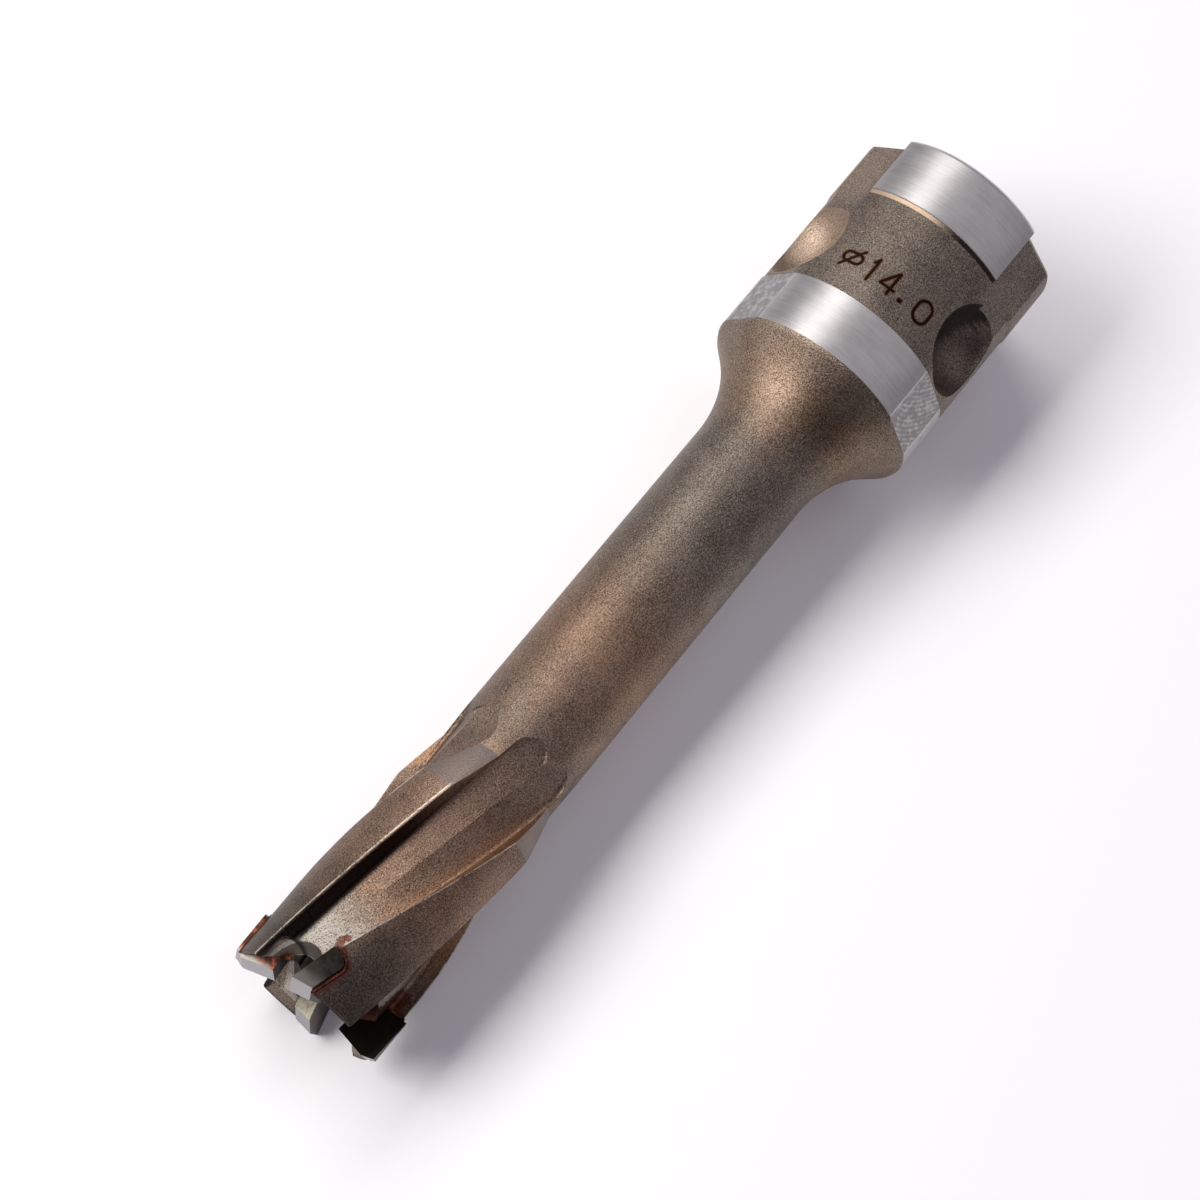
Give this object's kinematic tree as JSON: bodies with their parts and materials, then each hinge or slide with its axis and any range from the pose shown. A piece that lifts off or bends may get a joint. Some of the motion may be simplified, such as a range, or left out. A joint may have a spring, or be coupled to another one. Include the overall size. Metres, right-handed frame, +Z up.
{
  "type": "annular cutter",
  "caption": "Annular cutter for metal with brazed carbide tips, spiral flutes and a quick-change shank with drive flats and ball pockets, lying at rest.",
  "frame": {"origin": "centre of the footprint on the surface that the cutter lies on", "axes": "+X from the teeth to the shank end, +Z up; the tool's own axis rises 2.06 degrees towards the shank"},
  "size_m": [0.0894, 0.0194, 0.0197],
  "materials": {
    "blasted_steel": "bead-blasted steel with ground bands on the shank",
    "carbide": "ground carbide",
    "braze": "copper braze"
  },
  "bodies": {
    "root": {"cutter_body": "blasted_steel", "carbide_tip_1": "carbide", "carbide_tip_2": "carbide", "carbide_tip_3": "carbide", "carbide_tip_4": "carbide", "braze_seam_1": "braze", "braze_seam_2": "braze", "braze_seam_3": "braze", "braze_seam_4": "braze"}
  },
  "joints": []
}
